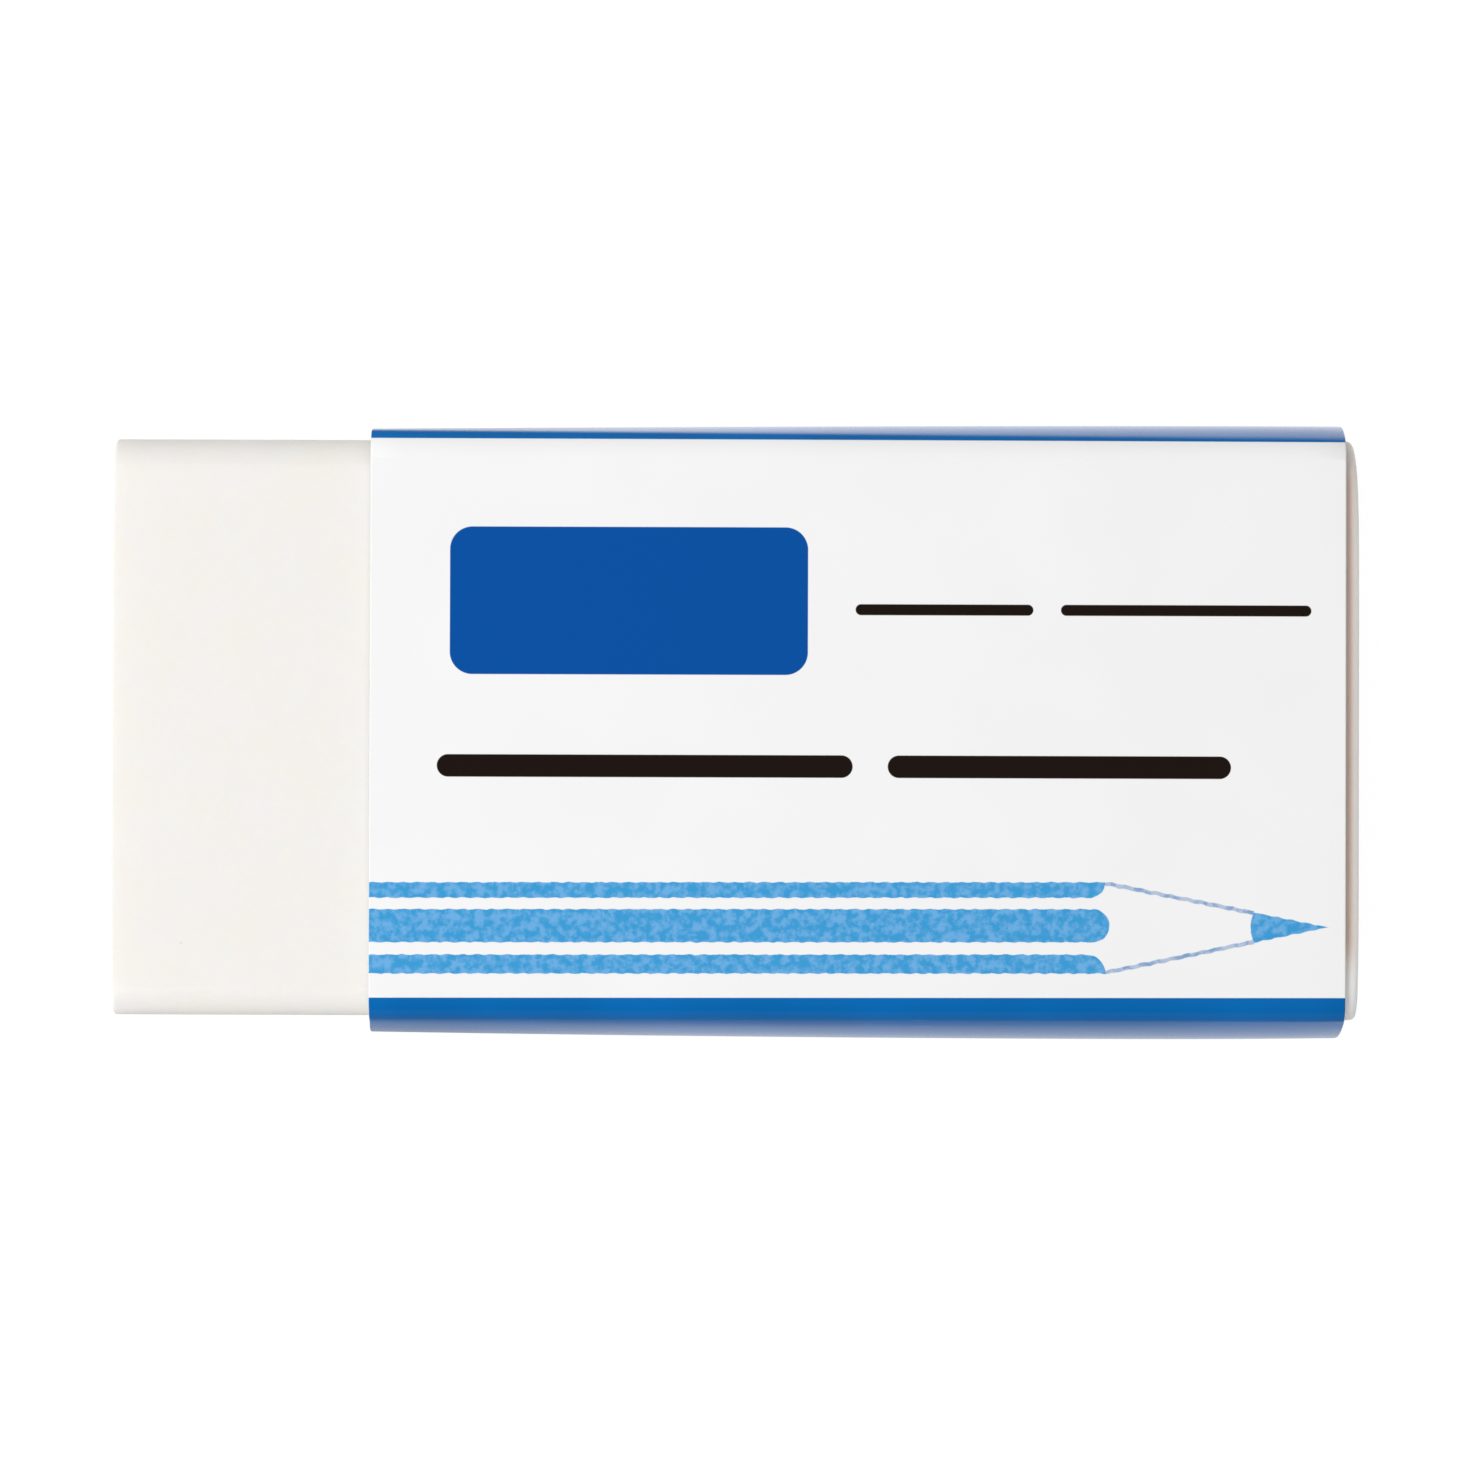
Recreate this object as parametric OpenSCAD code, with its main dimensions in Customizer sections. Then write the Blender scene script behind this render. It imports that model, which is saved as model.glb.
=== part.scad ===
// Block eraser in a folded card sleeve. Millimetres, +Z up.
// The block's length lies along X. The origin is under the middle of the whole, on the surface it lies on.

/* [Rubber block] */
// Length of the block, end to end
block_l = 50; // [42:0.5:66]
// Width of the block across its broad face
block_w = 23; // [17:0.5:28]
// Thickness of the block
block_t = 12; // [9:0.5:14]
// Radius of the four long edges
edge_r = 1.3; // [0.6:0.1:2]
// Radius round the face of the bare end
bare_end_r = 0.3; // [0.2:0.1:1.5]
// Radius round the face of the far end
far_end_r = 0.8; // [0.2:0.1:1.5]
// How far the bare end swells out past its corners
bare_swell = 0.15; // [0.05:0.05:0.3]
// How far the far end swells out past its corners
far_swell = 0.3; // [0.05:0.05:0.4]

/* [Card sleeve] */
// Length of rubber left bare at the working end
bare_l = 10.4; // [3:0.1:20]
// Length of rubber that stands out of the sleeve's far end
proud_l = 0.7; // [0:0.1:3]
// Thickness of the card
card_t = 0.3; // [0.2:0.05:0.4]
// Inside radius of the four folds
fold_r = 0.8; // [0.5:0.1:1.2]
// How far each side wall bows out past its folds
wall_bow = 0.6; // [0.2:0.05:0.8]
// Width of the flap that is glued inside the underside
flap_w = 8; // [5:0.5:11]
// Distance from the underside's free edge to the fold beside it
lap_inset = 0.6; // [0.3:0.1:1.5]

/* [Fit] */
// Clearance between the block's flat sides and the card, at its closest
side_gap = 0.06; // [0.03:0.01:0.3]
// Clearance between the block's top and the card
top_gap = 0.15; // [0.05:0.05:0.5]
// Clearance between the block's underside and the glued flap
rest_gap = 0.05; // [0.02:0.01:0.3]

/* [Hidden] */
$fn = 64;

// A circle as large as an end's swell needs more sides to follow its true line
swell_sides = 720;

// Steps along each fold and each bowed wall of the sleeve's section
fold_steps = 10;
wall_steps = 16;

// Levels, from the surface up
block_z = 2 * card_t + rest_gap;
block_top = block_z + block_t;
sleeve_h = block_top + top_gap + card_t;

// The sleeve covers what is not left bare at either end
sleeve_x = bare_l - block_l / 2;
sleeve_l = block_l - bare_l - proud_l;

// The folds of the sleeve's section: outside radius, and the height of each fold's centre
bend_r = fold_r + card_t;
upper_z = sleeve_h - bend_r;
lower_z = bend_r;
flap_fold_z = card_t + bend_r;

// A wall bows as one arc, tangent to the fold above it and the fold below it.
// Its centre lies inside the tube, wall_reach away from the line through the centres of the folds.
function half_span(low) = (upper_z - low) / 2;
function wall_reach(low) = (pow(half_span(low), 2) - pow(wall_bow, 2)) / (2 * wall_bow);
function wall_mid(low) = (upper_z + low) / 2;
function wall_r(low) = wall_reach(low) + wall_bow + bend_r;
function lean(low) = atan(half_span(low) / wall_reach(low));

// How far the card's inside face stands out from the line of fold centres, at height z
function inside_at(low, z) =
    sqrt(pow(wall_r(low) - card_t, 2) - pow(z - wall_mid(low), 2)) - wall_reach(low);

// The card clears the block where the block's flat sides begin and end
function tightest(low) =
    min(inside_at(low, block_top - edge_r), inside_at(low, block_z + edge_r));
fold_y = block_w / 2 + side_gap - min(tightest(lower_z), tightest(flap_fold_z));

// The glued lap: the flap lies on the underside's inside face, and the free edge shows beneath
free_y = fold_y - lap_inset;
flap_y = fold_y - flap_w;

// Points of an arc, ends included
function arc(centre, r, from, to, steps) =
    [for (i = [0:steps]) let (a = from + (to - from) * i / steps) centre + r * [cos(a), sin(a)]];

// One side of the section at a depth below the card's outside face, from its lower fold to its upper one
function side_points(low, depth) = concat(
    arc([fold_y, low], bend_r - depth, -90, -lean(low), fold_steps),
    arc([fold_y - wall_reach(low), wall_mid(low)], wall_r(low) - depth, -lean(low), lean(low), wall_steps),
    arc([fold_y, upper_z], bend_r - depth, lean(low), 90, fold_steps)
);

function mirrored(points) = [for (i = [len(points) - 1:-1:0]) [-points[i][0], points[i][1]]];

module sleeve_outside() {
    polygon(concat(
        side_points(flap_fold_z, 0),
        mirrored(side_points(lower_z, 0)),
        [[free_y, 0], [free_y, card_t]]
    ));
}

module sleeve_inside() {
    polygon(concat(
        side_points(flap_fold_z, card_t),
        mirrored(side_points(lower_z, card_t)),
        [[flap_y, card_t], [flap_y, 2 * card_t]]
    ));
}

// Extrudes a section drawn in Y and Z along X
module along_x(length) {
    rotate([90, 0, 90]) linear_extrude(length) children();
}

// A rectangle about the origin, with one radius at its two left corners and one at its two right corners
module rounded_rect(size, left_r, right_r) {
    translate([left_r - size[0] / 2, -size[1] / 2]) square([size[0] - left_r - right_r, size[1]]);
    for (end = [[-1, left_r], [1, right_r]])
        translate([end[0] * (size[0] / 2 - end[1]), 0]) {
            square([2 * end[1], size[1] - 2 * end[1]], center = true);
            for (side = [-1, 1])
                translate([0, side * (size[1] / 2 - end[1])]) circle(end[1]);
        }
}

// Radius of the arc that an end follows, seen from above
function swell_r(swell) = (pow(block_w / 2, 2) + pow(swell, 2)) / (2 * swell);

// The block seen from above, with its ends swelling out between the corners
module block_plan() {
    intersection() {
        rounded_rect([block_l, block_w], bare_end_r, far_end_r);
        translate([swell_r(bare_swell) - block_l / 2, 0]) circle(swell_r(bare_swell), $fn = swell_sides);
        translate([block_l / 2 - swell_r(far_swell), 0]) circle(swell_r(far_swell), $fn = swell_sides);
    }
}

// One moulded bar: its section, its plan and its side view are all rounded
module rubber_block() {
    color([0.94, 0.93, 0.91])
        translate([0, 0, block_z + block_t / 2])
            intersection() {
                translate([-block_l / 2, 0, 0])
                    along_x(block_l) rounded_rect([block_w, block_t], edge_r, edge_r);
                translate([0, 0, -block_t / 2]) linear_extrude(block_t) block_plan();
                translate([0, block_w / 2, 0]) rotate([90, 0, 0])
                    linear_extrude(block_w) rounded_rect([block_l, block_t], bare_end_r, far_end_r);
            }
}

// One strip of card, folded four times and glued along its lap
module card_sleeve() {
    color([0.95, 0.95, 0.97])
        translate([sleeve_x, 0, 0]) along_x(sleeve_l)
            difference() {
                sleeve_outside();
                sleeve_inside();
            }
}

rubber_block();
card_sleeve();
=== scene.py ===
"""Block eraser in a printed card sleeve: the rubber, the folded card and a pale studio around them.

Every length is in metres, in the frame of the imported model: +X along the block from its bare end,
+Z up out of the printed face, and the origin on the surface that the eraser lies on.
"""

import math

import bmesh
import bpy
from bpy.props import FloatProperty, FloatVectorProperty, PointerProperty
from mathutils import Matrix, Vector


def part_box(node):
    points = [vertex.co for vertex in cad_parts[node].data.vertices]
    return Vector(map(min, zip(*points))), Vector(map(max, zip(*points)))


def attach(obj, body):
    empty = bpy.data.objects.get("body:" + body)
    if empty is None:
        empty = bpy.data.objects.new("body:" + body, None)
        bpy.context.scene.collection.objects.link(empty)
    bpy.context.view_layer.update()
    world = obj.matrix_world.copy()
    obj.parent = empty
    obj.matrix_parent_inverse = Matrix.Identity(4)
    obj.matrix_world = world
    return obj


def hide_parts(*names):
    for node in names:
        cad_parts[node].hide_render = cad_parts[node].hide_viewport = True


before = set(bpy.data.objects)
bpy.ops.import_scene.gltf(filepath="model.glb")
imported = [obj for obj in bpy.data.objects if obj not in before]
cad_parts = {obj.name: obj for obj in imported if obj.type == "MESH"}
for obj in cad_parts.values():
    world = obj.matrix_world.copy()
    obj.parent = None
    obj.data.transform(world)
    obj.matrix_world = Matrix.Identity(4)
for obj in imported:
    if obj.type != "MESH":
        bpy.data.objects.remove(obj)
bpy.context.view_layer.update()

bl_info = {
    "name": "Eraser in a Card Sleeve",
    "version": (1, 0, 0),
    "blender": (4, 5, 0),
    "location": "View3D > Sidebar > Eraser",
    "description": "Builds a rubber block eraser, its printed card sleeve and a pale studio",
    "category": "Add Mesh",
}

MM = 0.001
WHITE = (1.0, 1.0, 1.0, 1.0)

BLOCK_LOW, BLOCK_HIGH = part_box("rubber_block")
SLEEVE_LOW, SLEEVE_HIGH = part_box("card_sleeve")

# The card's UV map is its flat blank at this size to one UV unit, centred on the printed face
BLANK = 0.1
BLANK_MAP = "flat_card"

# The mesh layer that keeps how far along the card's section a point lies
RUN_LAYER = "along_card"


def length(name, default, description):
    """A length property, shown in the scene's unit."""
    return FloatProperty(
        name=name, description=description, default=default, min=0.0, unit="LENGTH", precision=5
    )


def share(name, default, description, top=1.0):
    """A plain number between nothing and top."""
    return FloatProperty(name=name, description=description, default=default, min=0.0, max=top)


def colour(name, default, description):
    """A linear colour property."""
    return FloatVectorProperty(
        name=name, description=description, default=default, size=3, min=0.0, max=1.0, subtype="COLOR"
    )


class RubberSettings(bpy.types.PropertyGroup):
    """Sizes and finish of the rubber block."""

    top_back_edge: length("Top back edge", 1.55 * MM, "Radius of the upper long edge on the +Y side")
    top_front_edge: length("Top front edge", 1.1 * MM, "Radius of the upper long edge on the -Y side")
    lower_edge: length("Lower edges", 1.3 * MM, "Radius of the two lower long edges")
    bare_end_edge: length("Bare end edge", 0.12 * MM, "Radius round the face of the bare end")
    far_end_edge: length("Far end edge", 0.26 * MM, "Radius round the face of the far end")
    bare_end_swell: length("Bare end swell", 0.13 * MM, "How far the bare end swells out past its corners")
    far_back_swell: length("Far end swell, back", 0.25 * MM, "How far the far end swells out at +Y")
    far_front_swell: length("Far end swell, front", 0.10 * MM, "How far the far end swells out at -Y")
    far_flare: length("Far end flare", 0.08 * MM, "How far each long side spreads at the far end")
    end_dome: length("End dome", 0.05 * MM, "How far an end swells out past its upper and lower edges")
    swell_power: FloatProperty(
        name="Swell power", description="How close to its corners an end stays full", default=8.0, min=2.0
    )
    front_spread: length("Front spread", 0.035 * MM, "How far the long side at -Y spreads")
    back_spread: length("Back spread", 0.05 * MM, "How far the long side at +Y spreads")
    top_rise: length("Top rise", 0.10 * MM, "How far the top stands up towards the card")
    body_colour: colour("Rubber", (0.842, 0.826, 0.803), "Colour of the rubber")
    # Painted shadow: the card's far edge shading the rubber beside it, warm as if from light scattered in the
    # rubber
    card_shadow_colour: colour("Painted card shadow", (0.73, 0.59, 0.52), "Colour of the painted shadow beside the sleeve's far end")
    # Painted light: the far end's rim and end face, and the -Y end of the painted shadow, made lighter as if
    # lit
    lit_end_colour: colour("Painted light on far end", (0.96, 0.94, 0.92), "Colour of the painted light on the far end's rim and face")
    speck_colour: colour("Specks", (0.60, 0.57, 0.52), "Colour of the few specks in the rubber")
    glow_depth: length("Glow depth", 1.2 * MM, "How far light spreads inside the rubber")
    glow: share("Glow", 0.38, "Share of the light that goes through the rubber's skin")
    roughness: share("Roughness", 0.52, "Roughness of the moulded skin")
    grain: length("Grain", 0.09 * MM, "Size of the fine grain in the skin")


class CardSettings(bpy.types.PropertyGroup):
    """Sizes, folds and print of the card sleeve."""

    thickness: length("Card", 0.3 * MM, "Thickness of the card")
    fold_radius: length("Fold radius", 0.8 * MM, "Inside radius of the four folds")
    front_fold: length("Front fold", 10.64 * MM, "Distance from the middle of the face to its fold at -Y")
    back_fold: length("Back fold", 10.70 * MM, "Distance from the middle of the face to its fold at +Y")
    front_bow: length("Front bow", 0.48 * MM, "How far the wall at -Y bows out past its folds")
    front_rise: length("Front rise", 3.5 * MM, "How far from its folds the wall at -Y is upright")
    front_fill: share("Front fill", 0.40, "How much more the wall at -Y bows where it is fullest")
    front_fullest: share("Front fullest", 0.78, "Where along the sleeve the wall at -Y is fullest")
    front_skew: length("Front skew", 0.10 * MM, "How far the cut ends of the wall at -Y drift back")
    back_bow: length("Back bow", 0.51 * MM, "How far the wall at +Y leans out past its folds, at the far end")
    back_rise: length("Back rise", 2.6 * MM, "How far from its folds the wall at +Y is upright")
    back_start: share("Back start", 0.31, "How much of the back bow there is at the sleeve's mouth")
    back_drift: length("Back drift", 0.17 * MM, "How much further out the fold at +Y lies at the mouth")
    crown: length("Face crown", 0.04 * MM, "How far the printed face rises at its middle")
    reach: length("Reach", 0.10 * MM, "How much further than its CAD solid the card reaches at the far end")
    cut_edge: length("Cut edge", 0.06 * MM, "Width of the soft corner along the card's cut edges")
    flap: length("Glue flap", 8.0 * MM, "Width of the flap glued inside the underside")
    lap_inset: length("Lap inset", 0.6 * MM, "Distance from the underside's free edge to the fold")
    glue_gap: length("Glue line", 0.01 * MM, "Thickness of the glue between flap and underside")
    paper_colour: colour("Coated paper", (0.874, 0.874, 0.874), "Colour of the face where it has no ink")
    blue_ink: colour("Blue ink", (0.0, 0.141, 0.455), "Colour of the solid blue fields")
    field_ink: colour("Field ink", (0.0, 0.077, 0.348), "Colour of the blue field on the face")
    pale_ink: colour("Pale blue ink", (0.042, 0.318, 0.640), "Colour of the pale blue figure")
    worn_ink: colour("Thin blue ink", (0.148, 0.412, 0.740), "Colour of the pale ink where it lies thin")
    line_ink: colour("Line ink", (0.21, 0.35, 0.59), "Colour of the thin outline")
    dark_ink: colour("Dark ink", (0.014, 0.008, 0.006), "Colour of the dark bars")
    inside_colour: colour("Inside", (0.80, 0.79, 0.76), "Colour of the card's uncoated inside")
    core_colour: colour("Cut edge", (0.84, 0.82, 0.78), "Colour of the card's cut edge")
    roughness: share("Roughness", 0.20, "Roughness of the coated face")


class StudioSettings(bpy.types.PropertyGroup):
    """The camera, the lamps and the floor."""

    camera_distance: length("Camera distance", 350 * MM, "Distance from the camera to the rubber's top")
    aim_y: FloatProperty(
        name="Aim", description="Place across the eraser that the camera aims at",
        default=-0.31 * MM, unit="LENGTH", precision=5,
    )
    lens: FloatProperty(name="Lens", description="Focal length in millimetres", default=214.3, min=1.0)
    tilt: FloatProperty(
        name="Tilt", description="How far the camera leans from straight above towards the front",
        default=math.radians(1.4), subtype="ANGLE",
    )
    roll: FloatProperty(
        name="Roll", description="Turn of the camera about its line of sight", default=math.radians(0.185),
        subtype="ANGLE",
    )
    sky_strength: share("Sky", 0.70, "Strength of the soft light from overhead", 4.0)
    horizon: share("Horizon", 0.45, "Light from near the horizon, as a share of the light from overhead")
    sky_lean: share("Sky lean", 0.22, "How much brighter the sky is on the key lamp's side")
    key_power: share("Key lamp", 0.93, "Power of the soft key lamp in watts", 100.0)
    floor_colour: colour("Floor", (0.94, 0.94, 0.94), "Colour of the floor")
    floor_shade: share("Floor shading", 0.14, "How much of the floor's own shading the camera sees")


class Sheet:
    """A node tree that is filled from left to right."""

    def __init__(self, tree):
        self.tree = tree

    def add(self, kind, inputs=None, **settings):
        """Adds a node, sets its settings and feeds its inputs, which are values or sockets."""
        node = self.tree.nodes.new(kind)
        for name, value in settings.items():
            setattr(node, name, value)
        self.feed(node, inputs or {})
        return node

    def feed(self, node, inputs):
        """Joins a node's inputs to sockets, or sets their own values."""
        for key, value in inputs.items():
            if isinstance(value, bpy.types.NodeSocket):
                self.tree.links.new(value, node.inputs[key])
            else:
                node.inputs[key].default_value = value

    def calc(self, operation, *values):
        """One step of arithmetic."""
        return self.add("ShaderNodeMath", dict(enumerate(values)), operation=operation).outputs[0]

    def vector(self, operation, *values):
        """One step of arithmetic on vectors."""
        node = self.add("ShaderNodeVectorMath", dict(enumerate(values)), operation=operation)
        return node.outputs["Value" if operation == "DOT_PRODUCT" else "Vector"]

    def blend(self, factor, first, second):
        """Goes from the first colour to the second as factor goes from 0 to 1."""
        node = self.add("ShaderNodeMix", {0: factor, 6: first, 7: second}, data_type="RGBA")
        return node.outputs[2]

    def ramp(self, value, low, high, at_low=0.0, at_high=1.0):
        """A smooth step from at_low to at_high as value goes from low to high."""
        inputs = {"Value": value, "From Min": low, "From Max": high, "To Min": at_low, "To Max": at_high}
        return self.add("ShaderNodeMapRange", inputs, interpolation_type="SMOOTHSTEP").outputs[0]

    def noise(self, vector, scale, detail, roughness=0.5, **settings):
        """Soft random clouds, as a value and a colour."""
        inputs = {"Vector": vector, "Scale": scale, "Detail": detail, "Roughness": roughness}
        return self.add("ShaderNodeTexNoise", inputs, **settings).outputs

    def parts(self, vector):
        """The X, Y and Z of a vector."""
        return self.add("ShaderNodeSeparateXYZ", {0: vector}).outputs

    def object_place(self):
        """The place on the piece, in its object coordinates."""
        return self.add("ShaderNodeTexCoord").outputs["Object"]


def opaque(rgb):
    """A colour with full alpha, as a colour socket takes it."""
    return (rgb[0], rgb[1], rgb[2], 1.0)


def new_group(name, vectors, numbers, results):
    """A shader node group with named sockets. Returns its sheet, what it is given and its output node."""
    tree = bpy.data.node_groups.new(name, "ShaderNodeTree")
    for label in vectors:
        tree.interface.new_socket(label, in_out="INPUT", socket_type="NodeSocketVector")
    for label in numbers:
        tree.interface.new_socket(label, in_out="INPUT", socket_type="NodeSocketFloat")
    for label in results:
        tree.interface.new_socket(label, in_out="OUTPUT", socket_type="NodeSocketFloat")
    sheet = Sheet(tree)
    return sheet, sheet.add("NodeGroupInput").outputs, sheet.add("NodeGroupOutput")


# The values of the slow waves between which the mottle goes from none to full
MOTTLE_RANGE = 0.3, 0.7


def grain_group():
    """Fine grain over slow waves, as a height, and a slow mottle, as a mask."""
    sheet, given, result = new_group(
        "Surface grain", ["Vector"], ["Grain Scale", "Wave Scale", "Wave Share"], ["Height", "Mottle"]
    )
    fine = sheet.noise(given["Vector"], given["Grain Scale"], detail=3.0)[0]
    slow = sheet.noise(given["Vector"], given["Wave Scale"], detail=1.5)[0]
    waves = sheet.calc("MULTIPLY", slow, given["Wave Share"])
    sheet.feed(result, {"Height": sheet.calc("ADD", fine, waves), "Mottle": sheet.ramp(slow, *MOTTLE_RANGE)})
    return sheet.tree


def bar_group():
    """A printed bar with rounded corners, as a mask. Every size is in millimetres on the flat card."""
    sheet, given, result = new_group(
        "Printed bar", ["Vector", "Centre", "Half Size"], ["Corner", "Softness"], ["Mask"]
    )
    offset = sheet.vector("SUBTRACT", given["Vector"], given["Centre"])
    beyond = sheet.vector("SUBTRACT", sheet.vector("ABSOLUTE", offset), given["Half Size"])
    beyond_x, beyond_y = sheet.parts(beyond)[:2]
    corner, soft = given["Corner"], given["Softness"]
    past_x = sheet.calc("ADD", beyond_x, corner)
    past_y = sheet.calc("ADD", beyond_y, corner)
    square_x = sheet.calc("POWER", sheet.calc("MAXIMUM", past_x, 0.0), 2.0)
    square_y = sheet.calc("POWER", sheet.calc("MAXIMUM", past_y, 0.0), 2.0)
    outside = sheet.calc("SQRT", sheet.calc("ADD", square_x, square_y))
    inside = sheet.calc("MINIMUM", sheet.calc("MAXIMUM", past_x, past_y), 0.0)
    distance = sheet.calc("SUBTRACT", sheet.calc("ADD", outside, inside), corner)
    sheet.feed(result, {"Mask": sheet.ramp(distance, sheet.calc("MULTIPLY", soft, -1.0), soft, 1.0, 0.0)})
    return sheet.tree


def new_material(name):
    """An empty node material. Returns it, its sheet and its Principled shader, joined to the output."""
    material = bpy.data.materials.new(name)
    material.use_nodes = True
    material.node_tree.nodes.clear()
    sheet = Sheet(material.node_tree)
    shader = sheet.add("ShaderNodeBsdfPrincipled")
    sheet.add("ShaderNodeOutputMaterial", {"Surface": shader.outputs[0]})
    return material, sheet, shader


def add_grain(sheet, shader, place, grain, wave, wave_share, depth):
    """Puts the grain group's height on a shader as bump, and returns the group's mottle."""
    tree = bpy.data.node_groups.get("Surface grain") or grain_group()
    inputs = {
        "Vector": place, "Grain Scale": 1.0 / grain, "Wave Scale": 1.0 / wave, "Wave Share": wave_share,
    }
    group = sheet.add("ShaderNodeGroup", inputs, node_tree=tree).outputs
    bump = sheet.add("ShaderNodeBump", {"Strength": 1.0, "Distance": depth, "Height": group["Height"]})
    sheet.feed(shader, {"Normal": bump.outputs[0]})
    return group["Mottle"]


# Specular levels of the rubber, of the coated card and of the bare card
RUBBER_GLOSS, COATED_GLOSS, BARE_GLOSS = 0.32, 0.25, 0.2

# The rubber's skin: the size of its slow waves, their height beside the grain's, and the bump's depth
SKIN_WAVE, SKIN_WAVE_SHARE, SKIN_DEPTH = 2.6 * MM, 1.6, 0.006 * MM

# What the mottle does to the rubber: it warms each channel by a share, and changes the roughness
WARM_TINT = (1.0, 0.992, 0.972)
RUBBER_SMOOTHER, RUBBER_ROUGHER = 0.04, 0.05

# How far red, green and blue light spread inside the rubber, as shares of its glow depth
GLOW_REACH = (1.0, 0.72, 0.48)

# Specks: their spacing, the radii of a speck's core and of its rim as shares of that, and their strength
SPECK_STEP, SPECK_CORE, SPECK_RIM, SPECK_STRENGTH = 3.4 * MM, 0.014, 0.034, 0.45

# Along the block: where the painted light on the far end begins, and where the painted shadow of the card's
# far edge begins and ends
LIT_END_FROM = SLEEVE_HIGH.x + 0.42 * MM, SLEEVE_HIGH.x + 0.62 * MM
CARD_SHADOW_FROM = SLEEVE_HIGH.x - 0.9 * MM, SLEEVE_HIGH.x - 0.1 * MM
CARD_SHADOW_TO = SLEEVE_HIGH.x + 0.25 * MM, SLEEVE_HIGH.x + 0.66 * MM

# Across the block: where the painted shadow begins, where it weakens, and the share of it that is left beyond
CARD_SHADOW_FRONT = -10.2 * MM, -8.2 * MM
CARD_SHADOW_BACK = 9.6 * MM, 11.2 * MM
CARD_SHADOW_LEFT = 0.35


def rubber_material(settings):
    """White moulded rubber that light sinks into, with a fine skin, a few specks, and painted shade and light
    by the sleeve's far end.
    """
    material, sheet, shader = new_material("White rubber")
    place = sheet.object_place()
    mottle = add_grain(sheet, shader, place, settings.grain, SKIN_WAVE, SKIN_WAVE_SHARE, SKIN_DEPTH)
    specks = sheet.add("ShaderNodeTexVoronoi", {"Vector": place, "Scale": 1.0 / SPECK_STEP})
    speck = sheet.ramp(specks.outputs["Distance"], SPECK_CORE, SPECK_RIM, SPECK_STRENGTH, 0.0)
    body = settings.body_colour
    warm = [channel * tint for channel, tint in zip(body, WARM_TINT)]
    base = sheet.blend(mottle, opaque(body), opaque(warm))

    # Painted light makes the far end's rim and end face lighter. Beside the sleeve's far end goes a painted
    # shadow of the card's edge, warm as if from light scattered in the rubber; towards -Y painted light takes
    # its place
    along, across = sheet.parts(place)[:2]
    lit_end = opaque(settings.lit_end_colour)
    base = sheet.blend(sheet.ramp(along, *LIT_END_FROM), base, lit_end)
    before_end = sheet.ramp(along, *CARD_SHADOW_TO, 1.0, 0.0)
    in_card_shadow = sheet.calc("MULTIPLY", sheet.ramp(along, *CARD_SHADOW_FROM), before_end)
    from_back = sheet.ramp(across, *CARD_SHADOW_BACK, 1.0, CARD_SHADOW_LEFT)
    card_shadow = sheet.blend(from_back, base, opaque(settings.card_shadow_colour))
    card_shadow = sheet.blend(sheet.ramp(across, *CARD_SHADOW_FRONT), lit_end, card_shadow)
    base = sheet.blend(in_card_shadow, base, card_shadow)
    smooth, rough = settings.roughness - RUBBER_SMOOTHER, settings.roughness + RUBBER_ROUGHER
    sheet.feed(shader, {
        "Base Color": sheet.blend(speck, base, opaque(settings.speck_colour)),
        "Roughness": sheet.ramp(mottle, 0.0, 1.0, smooth, rough),
        "Specular IOR Level": RUBBER_GLOSS,
        "Subsurface Weight": settings.glow,
        "Subsurface Radius": GLOW_REACH,
        "Subsurface Scale": settings.glow_depth,
    })
    return material


# Softness of an ink edge, in millimetres
INK_EDGE = 0.018


class Print:
    """Draws flat shapes on the card's blank. Places and sizes are millimetres on the blank."""

    def __init__(self, sheet, place):
        self.sheet = sheet
        self.place = place
        self.x, self.y = sheet.parts(place)[:2]

    def bar(self, low, high, corner):
        """A bar from its low corner to its high one, with a radius at its corners."""
        tree = bpy.data.node_groups.get("Printed bar") or bar_group()
        inputs = {
            "Vector": self.place,
            "Centre": ((low[0] + high[0]) / 2, (low[1] + high[1]) / 2, 0.0),
            "Half Size": ((high[0] - low[0]) / 2, (high[1] - low[1]) / 2, 0.0),
            "Corner": corner,
            "Softness": INK_EDGE,
        }
        return self.sheet.add("ShaderNodeGroup", inputs, node_tree=tree).outputs["Mask"]

    def round_bar(self, low, high):
        """A bar whose ends are half circles."""
        return self.bar(low, high, (high[1] - low[1]) / 2)

    def beyond_line(self, start, end):
        """Signed distance from the line through two points, positive to its left."""
        along = Vector(end) - Vector(start)
        normal = Vector((-along.y, along.x)).normalized()
        offset = self.sheet.vector("SUBTRACT", self.place, (start[0], start[1], 0.0))
        return self.sheet.vector("DOT_PRODUCT", offset, (normal.x, normal.y, 0.0))

    def below(self, value, limit):
        """1 where value is under limit."""
        return self.sheet.ramp(value, limit - INK_EDGE, limit + INK_EDGE, 1.0, 0.0)

    def without(self, mask):
        """1 where a mask is 0."""
        return self.sheet.calc("SUBTRACT", 1.0, mask)

    def both(self, first, second):
        """1 where two masks are both 1."""
        return self.sheet.calc("MULTIPLY", first, second)

    def either(self, *masks):
        """1 where any of the masks is 1."""
        joined = masks[0]
        for mask in masks[1:]:
            joined = self.sheet.calc("MAXIMUM", joined, mask)
        return joined


# The pencil figure, in millimetres on the blank. Its stripes: the outer edges of the upper and lower one,
# where all start and those two end, how deep they are, and the corners of the middle one
PENCIL_TOP, PENCIL_FOOT = -6.206, -9.848
STRIPES_START, STRIPES_END = -30.0, 14.8
UPPER_STRIPE_DEPTH, LOWER_STRIPE_DEPTH = 0.620, 0.755
MIDDLE_STRIPE = (STRIPES_START, -8.600), (14.96, -7.280)

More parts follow.
